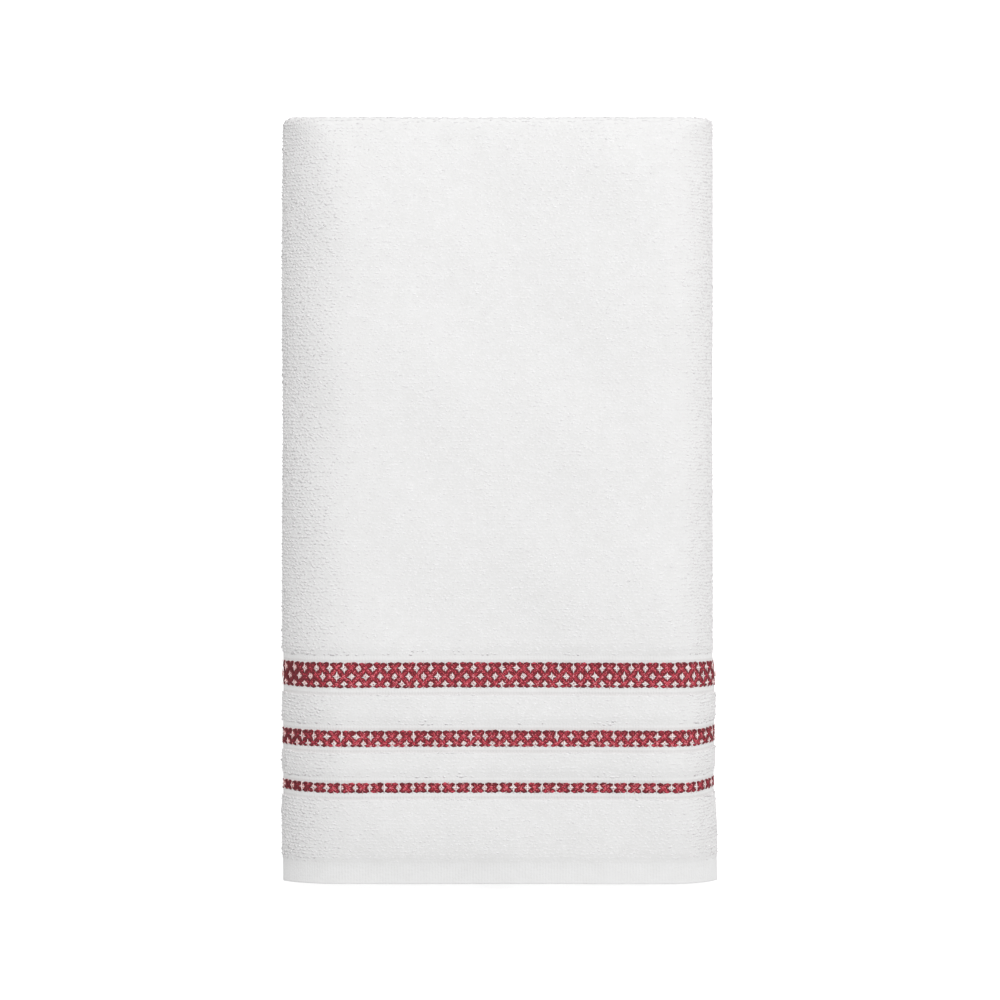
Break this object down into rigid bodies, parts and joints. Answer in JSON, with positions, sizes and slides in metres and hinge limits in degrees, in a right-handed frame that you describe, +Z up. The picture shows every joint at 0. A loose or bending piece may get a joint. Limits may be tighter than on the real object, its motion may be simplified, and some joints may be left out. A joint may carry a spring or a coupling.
{
  "type": "folded tea towel",
  "caption": "White cotton terry kitchen towel folded in four, lying flat with woven red lattice bands across its lower front.",
  "frame": {"origin": "middle of the underside, on the surface that the folded towel lies on", "axes": "+Z up out of the front face, +Y along the length from the hems to the crosswise fold, +X across the width to the right"},
  "size_m": [0.2039, 0.3575, 0.026],
  "materials": {
    "cotton": "white cotton terry with red, dark red and white woven bands"
  },
  "bodies": {
    "root": {"towel": "cotton"}
  },
  "joints": []
}
